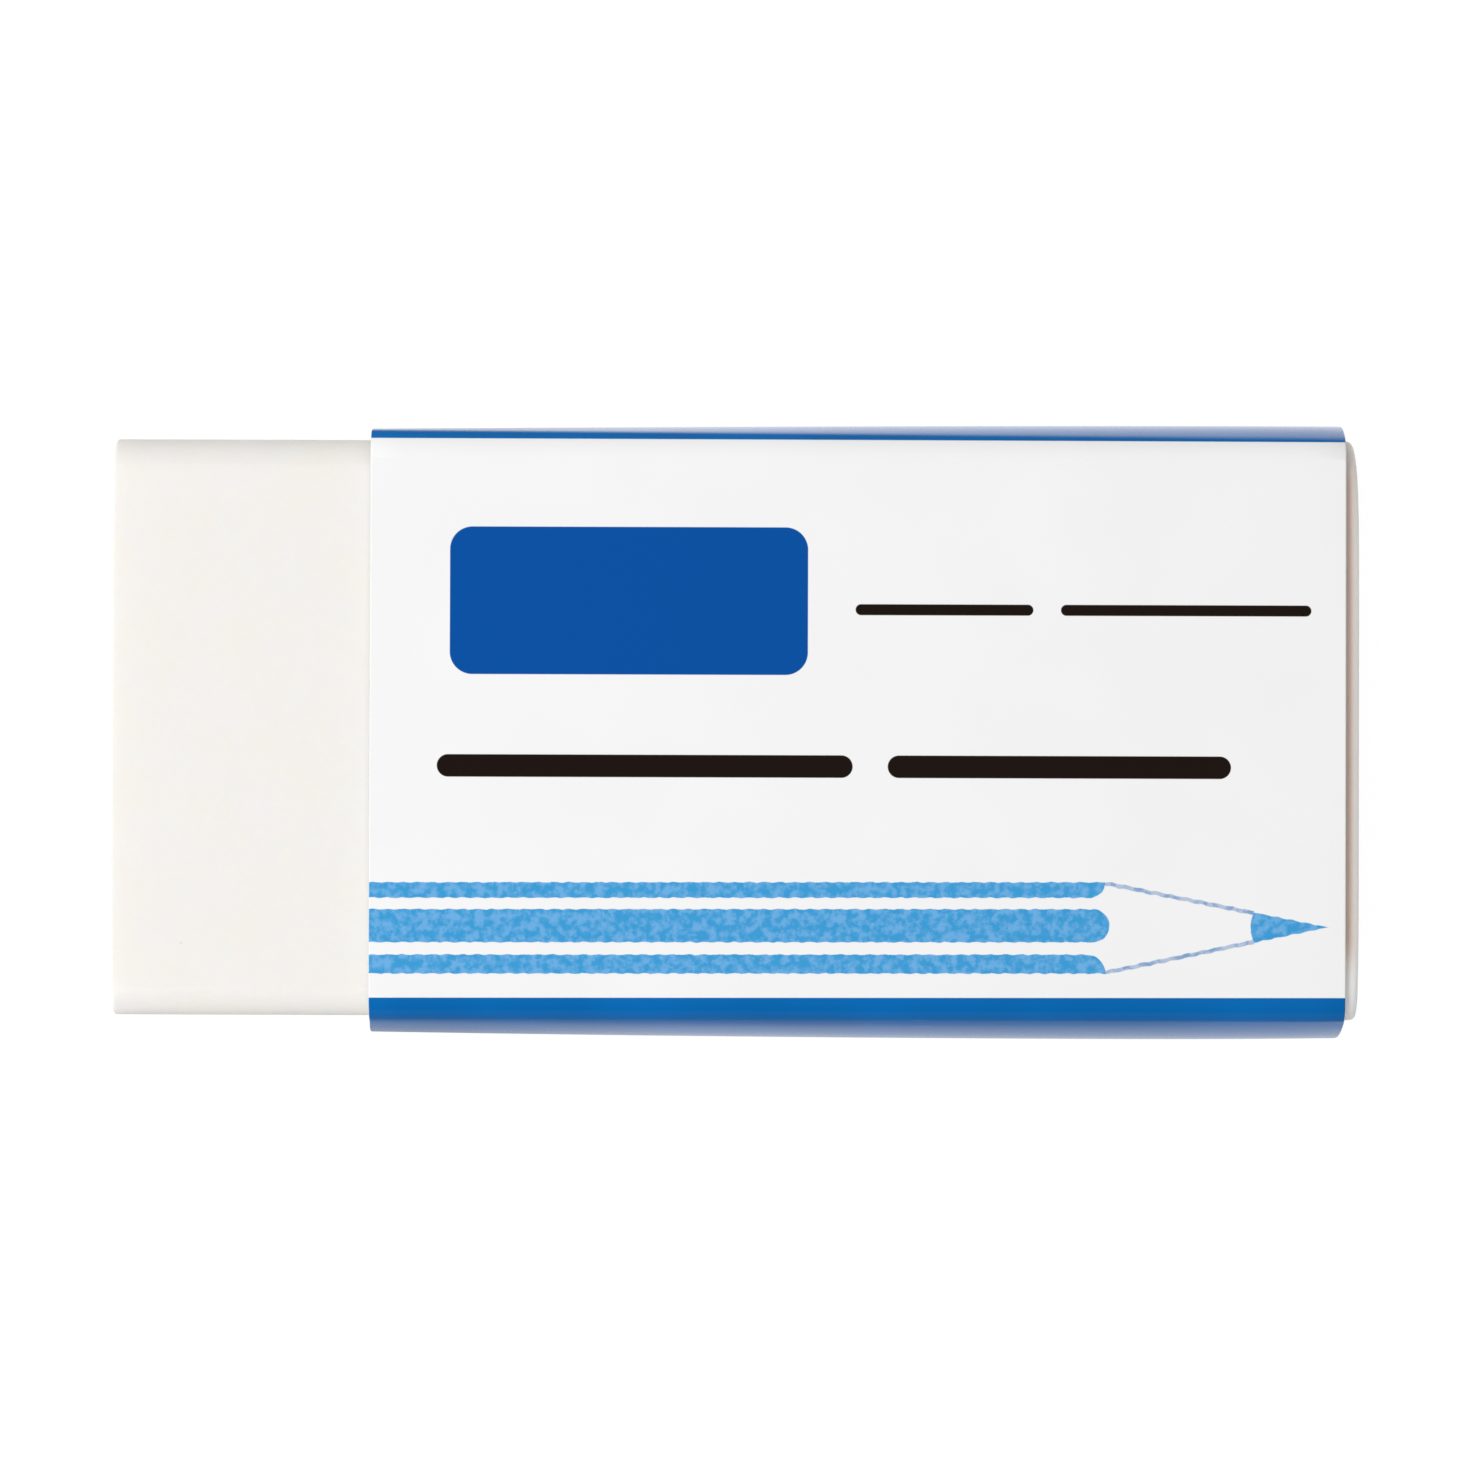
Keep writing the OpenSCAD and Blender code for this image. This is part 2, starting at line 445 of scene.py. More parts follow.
# Its cone: the point it ends in, how far its sides start inside the stripes' outer edges, half the width
# of the line along them, and how far back over the stripes that line reaches
CONE_POINT = (23.54, -8.0)
CONE_INSET = 0.04
CONE_LINE_HALF, CONE_LINE_BACK = 0.08, 0.15

# Its lead: where it starts, how far and over what half height that edge bows, and how far it spreads
# past the cone's sides
LEAD_START = 20.66
LEAD_BOW, LEAD_HALF = 0.12, 0.6
LEAD_SPREAD = 0.03

# The figure is printed a little askew, about the left end of the sleeve
FIGURE_TURN = math.radians(0.17)
FIGURE_PIVOT = (-14.6, -7.9, 0.0)

# The screen that the pale ink is printed through: its step, how far its dots scallop an edge and how
# much they wander. At a scale of 1, Blender's wave texture has this wave length
SCREEN_STEP, SCREEN_DEPTH, SCREEN_WANDER = 0.602, 0.03, 0.6
WAVE_LENGTH = math.pi / 10

# The ink's ragged edges: grains to a millimetre, and their depth. Its patches: how many to a millimetre,
# the values between which the fill and the outline go thin, and what is left of the outline there
RAGGED_SCALE, RAGGED_DEPTH = 4.5, 0.05
PATCH_SCALE, PATCH_ROUGHNESS = 2.7, 0.6
THIN_FILL = 0.36, 0.68
THIN_LINE, THIN_LINE_LEFT = (0.30, 0.62), 0.62

# The plain marks on the face: a blue field, a row of thin bars and a row of thick bars
FIELD_LOW, FIELD_HIGH, FIELD_CORNER = (-11.4, 2.1), (2.9, 8.0), 0.9
THIN_BARS = (((4.8, 4.5), (11.9, 4.94)), ((13.0, 4.5), (23.0, 4.94)))
THICK_BARS = (((-11.9, -2.0), (4.7, -1.1)), ((6.1, -2.0), (19.8, -1.1)))

# The two lines where the white face meets the blue walls, and the width of the blue
WHITE_FRONT = (-14.6, -10.825), (24.3, -10.72)
WHITE_BACK = (24.3, 11.588), (-14.6, 11.49)
WALL_WIDTH = 13.3

# Rub marks in the ink along the folds: where they begin and end beyond those lines, their spacing, their
# width as a share of it, how long they are for their width, the share of spaces with none, their strength
RUB_FROM, RUB_TO = (0.5, 0.8), (2.6, 3.4)
RUB_STEP, RUB_WIDTH, RUB_STRETCH = 0.55, 0.09, 14.0
RUB_FREE, RUB_STRENGTH = 0.55, 0.34


def outer_stripe(art, edge, depth, inside):
    """One half of a round bar about the figure's outer edge, on the side that the inside mask gives."""
    bar = art.round_bar((STRIPES_START, edge - depth), (STRIPES_END, edge + depth))
    return art.both(bar, inside)


def pencil_masks(art):
    """The pencil's filled parts and its outline, as two masks."""
    sheet = art.sheet
    below_top = art.below(art.y, PENCIL_TOP)
    above_foot = art.without(art.below(art.y, PENCIL_FOOT))
    upper = outer_stripe(art, PENCIL_TOP, UPPER_STRIPE_DEPTH, below_top)
    lower = outer_stripe(art, PENCIL_FOOT, LOWER_STRIPE_DEPTH, above_foot)
    stripes = art.either(upper, lower, art.round_bar(*MIDDLE_STRIPE))

    over = art.beyond_line((STRIPES_END, PENCIL_TOP - CONE_INSET), CONE_POINT)
    under = art.beyond_line(CONE_POINT, (STRIPES_END, PENCIL_FOOT + CONE_INSET))
    cone = sheet.calc("MAXIMUM", over, under)
    across = sheet.calc("DIVIDE", sheet.calc("SUBTRACT", art.y, CONE_POINT[1]), LEAD_HALF)
    bowed = sheet.calc("MULTIPLY", sheet.calc("SUBTRACT", 1.0, sheet.calc("POWER", across, 2.0)), LEAD_BOW)
    before_lead = art.below(sheet.calc("ADD", art.x, bowed), LEAD_START + LEAD_BOW / 2)
    lead = art.both(art.below(cone, LEAD_SPREAD), art.without(before_lead))
    on_line = art.below(sheet.calc("ABSOLUTE", cone), CONE_LINE_HALF)
    after_stripes = art.without(art.below(art.x, STRIPES_END - CONE_LINE_BACK))
    in_height = art.both(below_top, above_foot)
    outline = art.both(art.both(on_line, after_stripes), art.both(before_lead, in_height))
    return art.either(stripes, lead), outline


def rub_mask(sheet, place, walls):
    """A few faint rub marks in the ink along the folds, as a mask."""
    drawn_in = sheet.add("ShaderNodeMapping", {"Vector": place, "Scale": (1.0 / RUB_STRETCH, 1.0, 1.0)})
    inputs = {"Vector": drawn_in.outputs[0], "Scale": 1.0 / RUB_STEP}
    cells = sheet.add("ShaderNodeTexVoronoi", inputs, voronoi_dimensions="2D").outputs
    chance = sheet.parts(cells["Color"])[0]
    marks = sheet.ramp(cells["Distance"], 0.0, RUB_WIDTH, RUB_STRENGTH, 0.0)
    some = sheet.calc("MULTIPLY", marks, sheet.ramp(chance, RUB_FREE, 1.0))
    beside = sheet.calc("MULTIPLY", sheet.ramp(walls, *RUB_FROM), sheet.ramp(walls, *RUB_TO, 1.0, 0.0))
    return sheet.calc("MULTIPLY", some, beside)


# The coated face: the sizes of its grain and of its waves, the waves' height beside the grain's, and the
# bump's depth
COAT_GRAIN, COAT_WAVE, COAT_WAVE_SHARE, COAT_DEPTH = 0.16 * MM, 4.5 * MM, 2.2, 0.0035 * MM

# What the mottle leaves of the paper's and the blue's brightness, and how much rougher bare paper is
MOTTLED_PAPER, MOTTLED_BLUE = 0.985, 0.9
NO_INK_ROUGHER = 0.06


def printed_card_material(settings):
    """Coated white card with blue side walls, a pale pencil figure and plain dark bars."""
    material, sheet, shader = new_material("Printed card")
    flat = sheet.add("ShaderNodeUVMap", uv_map=BLANK_MAP).outputs[0]
    to_mm = BLANK / MM
    place = sheet.add(
        "ShaderNodeMapping",
        {"Vector": flat, "Location": (-0.5 * to_mm, -0.5 * to_mm, 0.0), "Scale": (to_mm, to_mm, 1.0)},
    ).outputs[0]
    grain_sizes = COAT_GRAIN, COAT_WAVE, COAT_WAVE_SHARE, COAT_DEPTH
    mottle = add_grain(sheet, shader, sheet.object_place(), *grain_sizes)

    # A screened ink has a rough edge and an uneven fill
    ragged = sheet.noise(place, RAGGED_SCALE, detail=2.0, noise_dimensions="2D")["Color"]
    shake = sheet.vector("SUBTRACT", ragged, (0.5, 0.5, 0.5))
    shake = sheet.vector("MULTIPLY", shake, (RAGGED_DEPTH, RAGGED_DEPTH, 0.0))
    inputs = {
        "Vector": place, "Scale": WAVE_LENGTH / SCREEN_STEP, "Distortion": SCREEN_WANDER, "Detail": 1.0,
    }
    screen = sheet.calc("MULTIPLY", sheet.add("ShaderNodeTexWave", inputs).outputs["Fac"], SCREEN_DEPTH)
    scallop = sheet.add("ShaderNodeCombineXYZ", {"Y": screen}).outputs[0]
    inputs = {
        "Vector": sheet.vector("SUBTRACT", place, FIGURE_PIVOT), "Location": FIGURE_PIVOT,
        "Rotation": (0.0, 0.0, -FIGURE_TURN),
    }
    straight = sheet.add("ShaderNodeMapping", inputs).outputs[0]
    screened = sheet.vector("ADD", sheet.vector("ADD", straight, shake), scallop)
    clean, rough_print = Print(sheet, place), Print(sheet, screened)

    beyond_front = clean.beyond_line(*reversed(WHITE_FRONT))
    beyond_back = clean.beyond_line(*reversed(WHITE_BACK))
    walls = sheet.calc("MAXIMUM", beyond_front, beyond_back)
    past_face = clean.without(clean.below(walls, 0.0))
    blue = clean.both(past_face, clean.below(walls, WALL_WIDTH))
    field = clean.bar(FIELD_LOW, FIELD_HIGH, FIELD_CORNER)
    pale, outline = pencil_masks(rough_print)
    dark = clean.either(*[clean.round_bar(*corners) for corners in THIN_BARS + THICK_BARS])

    patches = sheet.noise(place, PATCH_SCALE, 3.0, PATCH_ROUGHNESS, noise_dimensions="2D")[0]
    outline = sheet.calc("MULTIPLY", outline, sheet.ramp(patches, *THIN_LINE, 1.0, THIN_LINE_LEFT))
    dull_paper = [channel * MOTTLED_PAPER for channel in settings.paper_colour]
    deep_blue = [channel * MOTTLED_BLUE for channel in settings.blue_ink]
    base = sheet.blend(mottle, opaque(settings.paper_colour), opaque(dull_paper))
    base = sheet.blend(outline, base, opaque(settings.line_ink))
    thin = sheet.ramp(patches, *THIN_FILL)
    pale_fill = sheet.blend(thin, opaque(settings.pale_ink), opaque(settings.worn_ink))
    base = sheet.blend(pale, base, pale_fill)
    base = sheet.blend(blue, base, sheet.blend(mottle, opaque(settings.blue_ink), opaque(deep_blue)))
    base = sheet.blend(field, base, opaque(settings.field_ink))
    base = sheet.blend(dark, base, opaque(settings.dark_ink))
    base = sheet.blend(rub_mask(sheet, place, walls), base, opaque(settings.worn_ink))

    inked = clean.either(blue, field, pale, dark)
    rough = sheet.ramp(inked, 0.0, 1.0, settings.roughness + NO_INK_ROUGHER, settings.roughness)
    sheet.feed(shader, {"Base Color": base, "Roughness": rough, "Specular IOR Level": COATED_GLOSS})
    return material


# Bare card: how long its fibres are for their width, the size of its waves and their height beside the
# grain's, how large and rough a clump of fibres is, the values between which it goes from dull to pale,
# the two tones, and the range of roughness
FIBRE_STRETCH = 2.6
BARE_WAVE, BARE_WAVE_SHARE = 1.1 * MM, 0.6
CLUMP_SIZE, CLUMP_ROUGHNESS, CLUMP_RANGE = 1.7, 0.7, (0.35, 0.65)
DULL_FIBRE, PALE_FIBRE = 0.9, 1.05
BARE_ROUGHNESS = 0.82, 0.95

# The size of a fibre and the depth of the bump, inside the card and on its cut edges
INSIDE_FIBRE, INSIDE_DEPTH = 0.22 * MM, 0.010 * MM
CUT_FIBRE, CUT_DEPTH = 0.07 * MM, 0.012 * MM


def bare_card_material(name, base_colour, fibre, depth):
    """Uncoated card with paper fibres, for its inside and for its cut edge."""
    material, sheet, shader = new_material(name)
    inputs = {"Vector": sheet.object_place(), "Scale": (1.0, FIBRE_STRETCH, FIBRE_STRETCH)}
    stretched = sheet.add("ShaderNodeMapping", inputs).outputs[0]
    mottle = add_grain(sheet, shader, stretched, fibre, BARE_WAVE, BARE_WAVE_SHARE, depth)
    clumps = sheet.noise(stretched, 1.0 / (fibre * CLUMP_SIZE), 4.0, CLUMP_ROUGHNESS)[0]
    pale = [min(1.0, channel * PALE_FIBRE) for channel in base_colour]
    dull = [channel * DULL_FIBRE for channel in base_colour]
    base = sheet.blend(sheet.ramp(clumps, *CLUMP_RANGE), opaque(dull), opaque(pale))
    rough = sheet.ramp(mottle, 0.0, 1.0, *BARE_ROUGHNESS)
    sheet.feed(shader, {"Base Color": base, "Roughness": rough, "Specular IOR Level": BARE_GLOSS})
    return material


def finish_piece(name, bm, materials):
    """Turns a bmesh into a smooth-shaded object with its materials, placed by its mesh alone."""
    for face in bm.faces:
        face.smooth = True
    mesh = bpy.data.meshes.new(name)
    bm.to_mesh(mesh)
    bm.free()
    for material in materials:
        mesh.materials.append(material)
    piece = bpy.data.objects.new(name, mesh)
    bpy.context.scene.collection.objects.link(piece)
    return piece


# How strongly a large face's normal outweighs its small neighbours', from 1 to 100
FLAT_FACE_WEIGHT = 80


def even_shading(piece):
    """Keeps large flat faces flat under smooth shading."""
    weighted = piece.modifiers.new("Flat faces", "WEIGHTED_NORMAL")
    weighted.weight = FLAT_FACE_WEIGHT
    weighted.keep_sharp = True


def round_edges(bm, edges, radius, steps):
    """Rounds edges to a radius."""
    bmesh.ops.bevel(
        bm, geom=edges, offset=radius, offset_type="OFFSET", affect="EDGES", segments=steps, profile=0.5,
        material=-1, clamp_overlap=False,
    )


def edges_on(bm, axis, place):
    """Edges whose two ends both lie at a place on one axis."""
    return [e for e in bm.edges if all(abs(v.co[axis] - place) < 1e-6 for v in e.verts)]


def slice_across(bm, axis, low, high, parts):
    """Cuts a solid into equal strips across one axis, so that it can be bent."""
    normal = Vector([float(index == axis) for index in range(3)])
    for part in range(1, parts):
        place = normal * (low + (high - low) * part / parts)
        geometry = bm.verts[:] + bm.edges[:] + bm.faces[:]
        bmesh.ops.bisect_plane(bm, geom=geometry, dist=1e-7, plane_co=place, plane_no=normal)


# Segments round the block's long edges, bare end and far end, and the strips that each axis is cut into
LONG_EDGE_STEPS, BARE_END_STEPS, FAR_END_STEPS = 10, 4, 7
BLOCK_STRIPS = {"y": 22, "z": 12, "x": 16}

# A point belongs to an end of the block up to this many times the radius of its edge away
END_REACH = 1.01


def swell_ends(bm, low, high, settings):
    """Draws the corners and edges of both end faces back, so that each end swells out at its middle."""
    middle = (low + high) / 2
    half = (high - low) / 2
    ends = (
        (-1, (settings.bare_end_swell, settings.bare_end_swell), settings.bare_end_edge),
        (1, (settings.far_front_swell, settings.far_back_swell), settings.far_end_edge),
    )
    for side, swells, edge in ends:
        for vert in bm.verts:
            if (vert.co.x - middle.x) * side < half.x - edge * END_REACH:
                continue
            across = (vert.co.y - middle.y) / half.y
            up = (vert.co.z - middle.z) / half.z
            swell = swells[across > 0]
            drawn_back = swell * abs(across) ** settings.swell_power + settings.end_dome * up ** 2
            vert.co.x -= side * drawn_back


def flare_far_end(bm, low, high, flare):
    """Spreads the long sides a little towards the far end."""
    middle = (low + high) / 2
    half = (high - low) / 2
    for vert in bm.verts:
        along = max(0.0, (vert.co.x - middle.x) / half.x)
        vert.co.y += flare * along ** 2 * (vert.co.y - middle.y) / half.y


def build_rubber_block(settings):
    """The moulded bar: four long rounded edges, and two ends that swell a little."""
    low = BLOCK_LOW - Vector((0.0, settings.front_spread, 0.0))
    high = BLOCK_HIGH + Vector((0.0, settings.back_spread, settings.top_rise))
    bm = bmesh.new()
    bmesh.ops.create_cube(bm, size=1.0)
    bmesh.ops.scale(bm, verts=bm.verts, vec=high - low)
    bmesh.ops.translate(bm, verts=bm.verts, vec=(low + high) / 2)
    long_edges = (
        (high.y, high.z, settings.top_back_edge),
        (low.y, high.z, settings.top_front_edge),
        (high.y, low.z, settings.lower_edge),
        (low.y, low.z, settings.lower_edge),
    )
    for y, z, radius in long_edges:
        on_side = set(edges_on(bm, 1, y))
        round_edges(bm, [e for e in edges_on(bm, 2, z) if e in on_side], radius, LONG_EDGE_STEPS)
    round_edges(bm, edges_on(bm, 0, low.x), settings.bare_end_edge, BARE_END_STEPS)
    round_edges(bm, edges_on(bm, 0, high.x), settings.far_end_edge, FAR_END_STEPS)
    for name, strips in BLOCK_STRIPS.items():
        axis = "xyz".index(name)
        slice_across(bm, axis, low[axis], high[axis], strips)
    swell_ends(bm, low, high, settings)
    flare_far_end(bm, low, high, settings.far_flare)
    block = finish_piece("white_rubber_block", bm, [rubber_material(settings)])
    even_shading(block)
    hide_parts("rubber_block")
    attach(block, "block")


# Steps along the card's section: a fold, the leaning and the upright part of a wall, the underside, the
# printed face and the flap. Then the steps along the sleeve
FOLD_STEPS, LEAN_STEPS, UPRIGHT_STEPS = 9, 10, 6
UNDERSIDE_STEPS, FACE_STEPS, FLAP_STEPS = 24, 28, 8
SLEEVE_STEPS = 30

# Past its fullest place the wall at -Y thins out as if the rest of the sleeve were this much longer
FRONT_FADE = 1.8

# How steeply the wall at +Y draws in towards the mouth
BACK_FADE = 1.5

# Edges of the card sharper than this get the soft corner of a cut edge, in this many segments
CUT_ANGLE, CUT_STEPS = math.radians(60), 2


class FoldedLine:
    """Draws the card's section in Y and Z, one run after another, and keeps the length along the card."""

    def __init__(self, bm, y, z):
        self.bm = bm
        self.run = bm.verts.layers.float.new(RUN_LAYER)
        self.tip = bm.verts.new((SLEEVE_LOW.x, y, z))
        self.drawn = 0.0

    def step_to(self, vert):
        """Moves the pen on to a point."""
        self.drawn += (vert.co - self.tip.co).length
        vert[self.run] = self.drawn
        self.tip = vert

    def straight(self, along_y, along_z, steps):
        """A flat run."""
        for _ in range(steps):
            made = bmesh.ops.extrude_vert_indiv(self.bm, verts=[self.tip])["verts"][0]
            made.co += Vector((0.0, along_y / steps, along_z / steps))
            self.step_to(made)

    def curve(self, y, z, angle, steps):
        """A round run about a centre."""
        for _ in range(steps):
            made = bmesh.ops.spin(
                self.bm, geom=[self.tip], cent=(0.0, y, z), axis=(1.0, 0.0, 0.0), dvec=(0.0, 0.0, 0.0),
                angle=angle / steps, steps=1, use_duplicate=False,
            )["geom_last"]
            self.step_to(next(item for item in made if isinstance(item, bmesh.types.BMVert)))


class Wall:
    """A side wall between two folds: it leans out from each of them and stands upright between."""

    def __init__(self, side, fold_line, low_fold, high_fold, bow, rise, bend):
        self.side = side
        self.line = fold_line
        self.low = low_fold
        self.high = high_fold
        self.rise = rise
        self.lean = 2 * math.atan(bow / rise)
        self.centre = fold_line - rise / math.tan(self.lean)
        self.crease = fold_line + bend * math.cos(self.lean)

    def draw(self, pen):
        """Draws the near fold, the wall and the fold beyond it, upwards at -Y and downwards at +Y."""
        going = -self.side
        near, far = (self.low, self.high) if going > 0 else (self.high, self.low)
        fold = self.lean - math.pi / 2
        pen.curve(self.side * self.line, near, fold, FOLD_STEPS)
        pen.curve(self.side * self.centre, near + going * self.rise, -self.lean, LEAN_STEPS)
        pen.straight(0.0, far - near - going * 2 * self.rise, UPRIGHT_STEPS)
        pen.curve(self.side * self.centre, far - going * self.rise, -self.lean, LEAN_STEPS)
        pen.curve(self.side * self.line, far, fold, FOLD_STEPS)


def draw_section(bm, settings):
    """Draws the card's outside line from the underside's free edge, round the tube and on to the flap's end.

    Returns how far along the card the middle of the printed face lies, and the two walls.
    """
    bend = settings.fold_radius + settings.thickness
    high_fold = SLEEVE_HIGH.z - bend
    flap_z = settings.thickness + settings.glue_gap
    front_shape = settings.front_bow, settings.front_rise, bend
    back_shape = settings.back_bow, settings.back_rise, bend
    front = Wall(-1, settings.front_fold, bend, high_fold, *front_shape)
    back = Wall(1, settings.back_fold, flap_z + bend, high_fold, *back_shape)
    pen = FoldedLine(bm, back.line - settings.lap_inset, 0.0)
    pen.straight(settings.lap_inset - back.line - front.line, 0.0, UNDERSIDE_STEPS)
    front.draw(pen)
    middle = pen.drawn + front.line
    pen.straight(front.line + back.line, 0.0, FACE_STEPS)
    back.draw(pen)
    pen.straight(-settings.flap, 0.0, FLAP_STEPS)
    return middle, front, back


def front_fullness(settings, along):
    """How full the wall at -Y is along the sleeve, from 0 at the mouth to 1 at its fullest place."""
    peak = settings.front_fullest
    span = peak if along < peak else (1.0 - peak) * FRONT_FADE
    return 1.0 - ((along - peak) / span) ** 2


def fill_out(bm, settings, front, back):
    """Changes how far the two walls stand out along the sleeve, and crowns the printed face."""
    for vert in bm.verts:
        along = min(1.0, (vert.co.x - SLEEVE_LOW.x) / (SLEEVE_HIGH.x - SLEEVE_LOW.x))
        if vert.co.y < -front.crease:
            fill = settings.front_fill * front_fullness(settings, along)
            vert.co.y += (vert.co.y + front.crease) * fill
            up = (vert.co.z - front.low) / (front.high - front.low)
            vert.co.x -= settings.front_skew * math.sin(math.pi * min(max(up, 0.0), 1.0))
        if vert.co.y > back.crease:
            spare = (1.0 - settings.back_start) * (1.0 - along) ** BACK_FADE
            vert.co.y -= (vert.co.y - back.crease) * spare
        if vert.co.y > back.line:
            fold_share = min(1.0, (vert.co.y - back.line) / (back.crease - back.line))
            vert.co.y += settings.back_drift * (1.0 - along) * fold_share
        elif abs(vert.co.y) < front.line and vert.co.z > front.high:
            vert.co.z += settings.crown * (1.0 - (vert.co.y / front.line) ** 2)


def lay_flat_map(bm, middle):
    """Gives the card the UV map of its flat blank, with the middle of the printed face at its centre."""
    run = bm.verts.layers.float[RUN_LAYER]
    flat = bm.loops.layers.uv.new(BLANK_MAP)
    for face in bm.faces:
        for loop in face.loops:
            loop[flat].uv = (0.5 + loop.vert.co.x / BLANK, 0.5 + (loop.vert[run] - middle) / BLANK)


def build_card_sleeve(settings):
    """The folded and glued strip of card."""
    bm = bmesh.new()
    middle, front, back = draw_section(bm, settings)
    stride = (SLEEVE_HIGH.x + settings.reach - SLEEVE_LOW.x) / SLEEVE_STEPS
    edges = bm.edges[:]
    for _ in range(SLEEVE_STEPS):
        grown = bmesh.ops.extrude_edge_only(bm, edges=edges)["geom"]
        verts = [item for item in grown if isinstance(item, bmesh.types.BMVert)]
        edges = [item for item in grown if isinstance(item, bmesh.types.BMEdge)]
        bmesh.ops.translate(bm, verts=verts, vec=(stride, 0.0, 0.0))
    lay_flat_map(bm, middle)
    fill_out(bm, settings, front, back)
    bm.normal_update()
    top = max(bm.faces, key=lambda face: face.calc_center_median().z)
    if top.normal.z < 0:
        bmesh.ops.reverse_faces(bm, faces=bm.faces)
    bm.verts.layers.float.remove(bm.verts.layers.float[RUN_LAYER])
    materials = [
        printed_card_material(settings),
        bare_card_material("Card inside", settings.inside_colour, INSIDE_FIBRE, INSIDE_DEPTH),
        bare_card_material("Card cut edge", settings.core_colour, CUT_FIBRE, CUT_DEPTH),
    ]
    sleeve = finish_piece("printed_card_sleeve", bm, materials)
    wall = sleeve.modifiers.new("Card thickness", "SOLIDIFY")
    wall.thickness = settings.thickness
    wall.offset = -1.0
    wall.use_even_offset = True
    wall.material_offset = 1
    wall.material_offset_rim = 2
    soft = sleeve.modifiers.new("Cut edges", "BEVEL")
    soft.limit_method = "ANGLE"
    soft.angle_limit = CUT_ANGLE
    soft.width = settings.cut_edge
    soft.segments = CUT_STEPS
    even_shading(sleeve)
    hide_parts("card_sleeve")
    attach(sleeve, "sleeve")


# Half the floor's width, and what its glow and shading come to in full light: just over white
FLOOR_HALF = 0.6
FLOOR_WHITE = 1.06

# The floor in reflections. In front of the eraser it is bright up to a slanted line, less so beside the
# bare end, and it gains towards the back
FRONT_SLANT, FRONT_LINE, FRONT_GLOW = 0.085, (-20.9 * MM, -19.2 * MM), 0.85
BARE_END_SIDE, BARE_END_GLOW = (-15 * MM, 0.0), 0.58
TOWARDS_BACK, BACK_GAIN = (-10 * MM, 10 * MM), 0.5

# Behind the eraser it fades out at a line that slants the other way. Beyond both lines this much is left
BACK_SLANT, BACK_LINE, BACK_GLOW = 0.35, (22 * MM, 40 * MM), 1.3
FAR_GLOW = 0.05


def floor_material(settings):
    """A pale floor: white to the camera, with a soft shadow, and in reflections bright near the eraser."""
    material, sheet, shader = new_material("Pale floor")
    rays = sheet.add("ShaderNodeLightPath").outputs
    seen = sheet.calc("MAXIMUM", rays["Is Camera Ray"], rays["Is Glossy Ray"])
    seen = sheet.calc("MAXIMUM", seen, rays["Is Transmission Ray"])
    shade = settings.floor_shade
    floor = settings.floor_colour
    shaded = [channel * shade for channel in floor]

    # In reflections the floor is bright beside the eraser and falls away from it, sooner towards -Y
    along, across = sheet.parts(sheet.object_place())[:2]
    slanted = sheet.calc("ADD", across, sheet.calc("MULTIPLY", along, FRONT_SLANT))
    edge = sheet.ramp(slanted, *FRONT_LINE, FAR_GLOW, FRONT_GLOW)
    front = sheet.calc("MULTIPLY", edge, sheet.ramp(along, *BARE_END_SIDE, BARE_END_GLOW, 1.0))
    front = sheet.calc("ADD", front, sheet.ramp(across, *TOWARDS_BACK, 0.0, BACK_GAIN))
    turned = sheet.calc("SUBTRACT", across, sheet.calc("MULTIPLY", along, BACK_SLANT))
    nearby = sheet.calc("MINIMUM", front, sheet.ramp(turned, *BACK_LINE, BACK_GLOW, FAR_GLOW))
    lit = sheet.ramp(rays["Is Glossy Ray"], 0.0, 1.0, 1.0, nearby)
    glow = sheet.calc("MULTIPLY", lit, FLOOR_WHITE - shade * floor[0])
    sheet.feed(shader, {
        "Base Color": sheet.blend(seen, opaque(floor), opaque(shaded)),
        "Emission Color": WHITE,
        "Emission Strength": sheet.calc("MULTIPLY", seen, glow),
        "Roughness": 1.0,
        "Specular IOR Level": 0.0,
    })
    return material


def build_floor(settings):
    """The floor, level with the sleeve's underside."""
    bm = bmesh.new()
    bmesh.ops.create_grid(bm, x_segments=1, y_segments=1, size=FLOOR_HALF)
    floor = finish_piece("pale_floor", bm, [floor_material(settings)])


# The upward part of a direction in which the sky is at its full strength, and in reflections the two
# between which it fades and its brightness at each
SKY_FULL = 0.9
MIRRORED_HEIGHTS, MIRRORED_SKY = (0.02, 0.35), (0.36, 0.03)

# The soft key lamp, high beyond the bare end and a little to the front
KEY_PLACE, KEY_SIZE = (-0.22, -0.01, 0.34), 0.2

# The camera's sensor in millimetres, and the nearest distance that it sees
SENSOR_WIDTH, CLIP_START = 36.0, 0.01


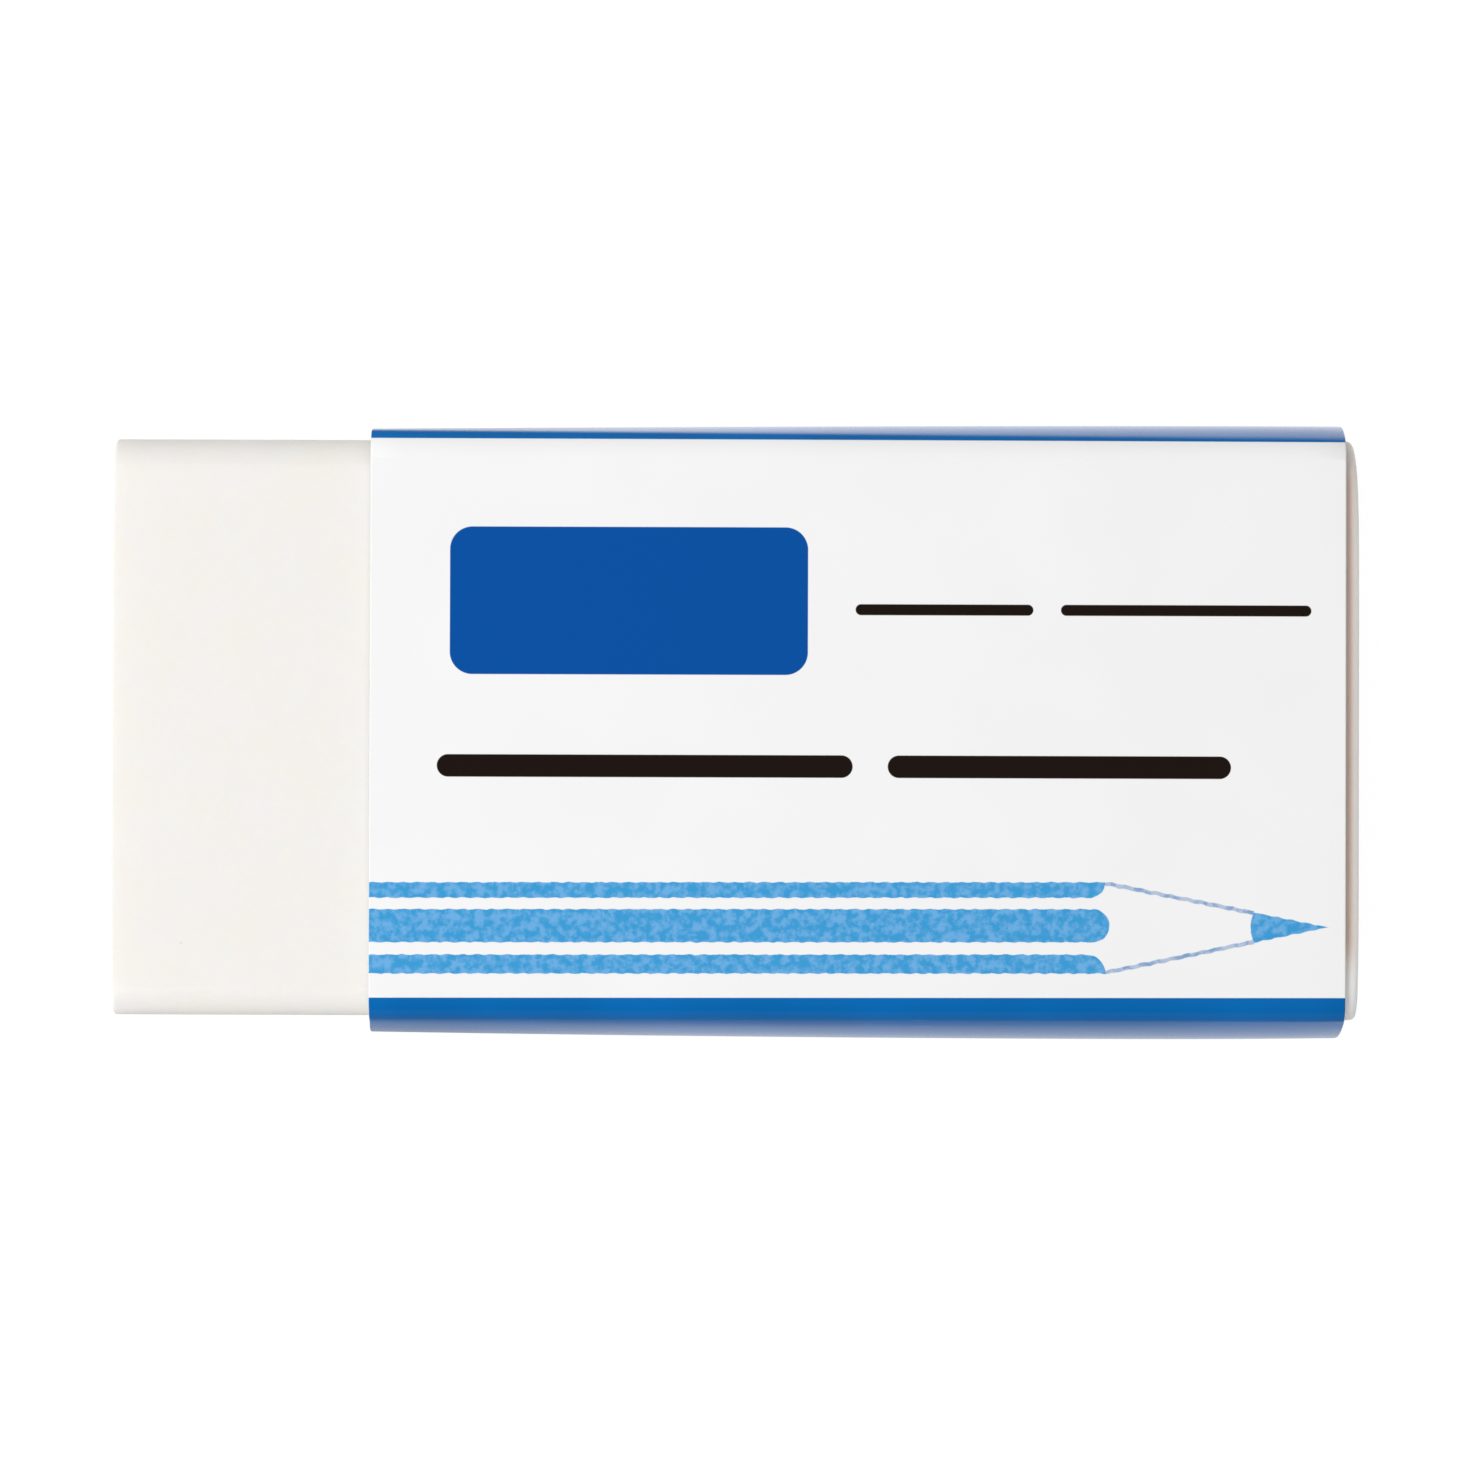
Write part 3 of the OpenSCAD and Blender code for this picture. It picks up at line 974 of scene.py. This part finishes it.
def build_sky(settings):
    """Soft light from all round, strongest overhead. It is white to the camera and dark in reflections."""
    world = bpy.data.worlds.new("Light tent")
    world.use_nodes = True
    world.node_tree.nodes.clear()
    sheet = Sheet(world.node_tree)
    rays = sheet.add("ShaderNodeLightPath").outputs
    plain = sheet.calc("MAXIMUM", rays["Is Camera Ray"], rays["Is Transmission Ray"])
    outwards = sheet.add("ShaderNodeTexCoord").outputs["Generated"]
    along, _, up = sheet.parts(outwards)
    lean = sheet.calc("SUBTRACT", 1.0, sheet.calc("MULTIPLY", along, settings.sky_lean))
    at_horizon = settings.sky_strength * settings.horizon
    sky = sheet.calc("MULTIPLY", sheet.ramp(up, 0.0, SKY_FULL, at_horizon, settings.sky_strength), lean)
    mirrored = sheet.ramp(up, *MIRRORED_HEIGHTS, *MIRRORED_SKY)
    strength = sheet.blend(rays["Is Glossy Ray"], sky, mirrored)
    strength = sheet.blend(plain, strength, WHITE)
    background = sheet.add("ShaderNodeBackground", {"Color": strength, "Strength": 1.0})
    sheet.add("ShaderNodeOutputWorld", {"Surface": background.outputs[0]})
    bpy.context.scene.world = world


def add_lamp(name, place, size, power):
    """A square soft lamp that faces the origin and shows in no reflection."""
    lamp = bpy.data.lights.new(name, "AREA")
    lamp.energy = power
    lamp.size = size
    holder = bpy.data.objects.new(name, lamp)
    bpy.context.scene.collection.objects.link(holder)
    holder.location = place
    holder.rotation_euler = (-Vector(place)).to_track_quat("-Z", "Y").to_euler()
    holder.visible_glossy = False


def build_camera(settings):
    """Looks down on the eraser from where the photograph was taken."""
    camera = bpy.data.cameras.new("Camera")
    camera.lens = settings.lens
    camera.sensor_width = SENSOR_WIDTH
    camera.clip_start = CLIP_START
    holder = bpy.data.objects.new("Camera", camera)
    bpy.context.scene.collection.objects.link(holder)
    turn = Matrix.Rotation(settings.tilt, 4, "X") @ Matrix.Rotation(settings.roll, 4, "Z")
    aim = Vector((0.0, settings.aim_y, BLOCK_HIGH.z))
    back = turn.to_3x3() @ Vector((0.0, 0.0, settings.camera_distance))
    holder.matrix_world = Matrix.Translation(aim + back) @ turn
    bpy.context.scene.camera = holder


class ERASER_OT_rubber_block(bpy.types.Operator):
    """Build the rubber block"""

    bl_idname = "eraser.rubber_block"
    bl_label = "Rubber Block"
    bl_options = {"REGISTER", "UNDO"}

    def execute(self, context):
        build_rubber_block(context.scene.eraser_rubber)
        return {"FINISHED"}


class ERASER_OT_card_sleeve(bpy.types.Operator):
    """Fold, glue and print the card sleeve"""

    bl_idname = "eraser.card_sleeve"
    bl_label = "Card Sleeve"
    bl_options = {"REGISTER", "UNDO"}

    def execute(self, context):
        build_card_sleeve(context.scene.eraser_card)
        return {"FINISHED"}


class ERASER_OT_studio(bpy.types.Operator):
    """Set up the floor, the light and the camera"""

    bl_idname = "eraser.studio"
    bl_label = "Studio"
    bl_options = {"REGISTER", "UNDO"}

    def execute(self, context):
        settings = context.scene.eraser_studio
        build_floor(settings)
        build_sky(settings)
        add_lamp("key_lamp", KEY_PLACE, KEY_SIZE, settings.key_power)
        build_camera(settings)
        context.scene.view_settings.view_transform = "Standard"
        return {"FINISHED"}


class VIEW3D_PT_eraser(bpy.types.Panel):
    """The eraser's sizes and colours, and the buttons that build it"""

    bl_label = "Eraser"
    bl_idname = "VIEW3D_PT_eraser"
    bl_space_type = "VIEW_3D"
    bl_region_type = "UI"
    bl_category = "Eraser"

    def draw(self, context):
        scene = context.scene
        groups = (
            (scene.eraser_rubber, ERASER_OT_rubber_block),
            (scene.eraser_card, ERASER_OT_card_sleeve),
            (scene.eraser_studio, ERASER_OT_studio),
        )
        for settings, maker in groups:
            box = self.layout.box()
            for name in settings.__annotations__:
                box.prop(settings, name)
            box.operator(maker.bl_idname)


CLASSES = (
    RubberSettings,
    CardSettings,
    StudioSettings,
    ERASER_OT_rubber_block,
    ERASER_OT_card_sleeve,
    ERASER_OT_studio,
    VIEW3D_PT_eraser,
)


def register():
    """Makes the classes and the three groups of settings known to Blender."""
    for item in CLASSES:
        bpy.utils.register_class(item)
    bpy.types.Scene.eraser_rubber = PointerProperty(type=RubberSettings)
    bpy.types.Scene.eraser_card = PointerProperty(type=CardSettings)
    bpy.types.Scene.eraser_studio = PointerProperty(type=StudioSettings)


def unregister():
    """Takes back what register did."""
    del bpy.types.Scene.eraser_studio
    del bpy.types.Scene.eraser_card
    del bpy.types.Scene.eraser_rubber
    for item in reversed(CLASSES):
        bpy.utils.unregister_class(item)


def main():
    register()
    bpy.ops.eraser.studio()
    bpy.ops.eraser.rubber_block()
    bpy.ops.eraser.card_sleeve()


if __name__ == "__main__":
    main()
